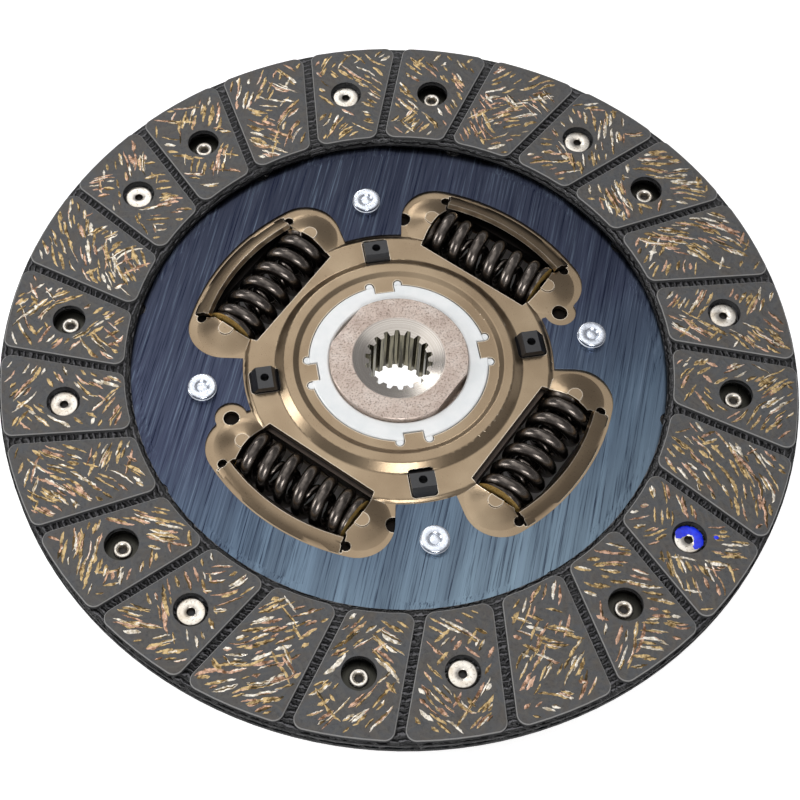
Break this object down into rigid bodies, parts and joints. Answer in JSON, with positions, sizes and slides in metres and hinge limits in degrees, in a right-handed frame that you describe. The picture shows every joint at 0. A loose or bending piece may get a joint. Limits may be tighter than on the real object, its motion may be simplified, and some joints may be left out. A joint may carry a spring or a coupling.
{
  "type": "clutch disc",
  "caption": "Dry clutch disc with a splined sprung hub, coil dampers in pressed windows, a waved cushion plate and grooved riveted facings.",
  "frame": {"origin": "on the hub's axis, at the rear end of the hub that the disc lies on", "axes": "+Z along the hub's axis towards the front face with the visible spring windows; +X to the right and +Y away from the camera in the picture"},
  "size_m": [0.24, 0.24, 0.0232],
  "materials": {
    "friction_material": "moulded organic friction material, dark grey, with brass and copper fibres",
    "blued_steel": "blued spring steel, rolled grain, semi-gloss",
    "yellow_zinc": "pressed steel, yellow zinc plated, satin",
    "forged_steel": "forged steel with turned faces, lightly oiled",
    "spring_steel": "black oiled spring wire, ground ends",
    "nylon": "natural nylon, slightly see-through at thin edges",
    "black_plastic": "black glass-filled nylon, smooth moulded",
    "washer_plastic": "pressed organic friction washer",
    "bare_steel": "bare rolled steel",
    "zinc_pin": "clear zinc plated steel",
    "rivet": "plated steel tubular rivet"
  },
  "bodies": {
    "hub": {"hub": "forged_steel"},
    "disc": {"facing_front": "friction_material", "facing_rear": "friction_material", "front_facing_rivets": "rivet", "rear_facing_rivets": "rivet", "cushion_plate": "blued_steel", "retainer_plate_front": "yellow_zinc", "retainer_plate_rear": "yellow_zinc", "stop_pin_1": "zinc_pin", "stop_pin_2": "zinc_pin", "stop_pin_3": "zinc_pin", "stop_pin_4": "zinc_pin", "spring_1": "spring_steel", "spring_2": "spring_steel", "spring_3": "spring_steel", "spring_4": "spring_steel", "inner_spring_1": "spring_steel", "inner_spring_2": "spring_steel", "inner_spring_3": "spring_steel", "inner_spring_4": "spring_steel", "hub_bush_front": "nylon", "hub_bush_rear": "nylon", "friction_ring": "black_plastic", "friction_washer": "washer_plastic", "pressure_ring": "bare_steel", "disc_spring": "bare_steel"}
  },
  "joints": [
    {"name": "damper", "type": "hinge", "parent": "hub", "child": "disc", "pos_m": [0, 0, 0.0145], "axis": [0, 0, 1], "range_deg": [-7, 7], "stiffness_Nm_per_rad": 60, "deforming": ["spring_1", "spring_2", "spring_3", "spring_4", "inner_spring_1", "inner_spring_2", "inner_spring_3", "inner_spring_4"]}
  ]
}
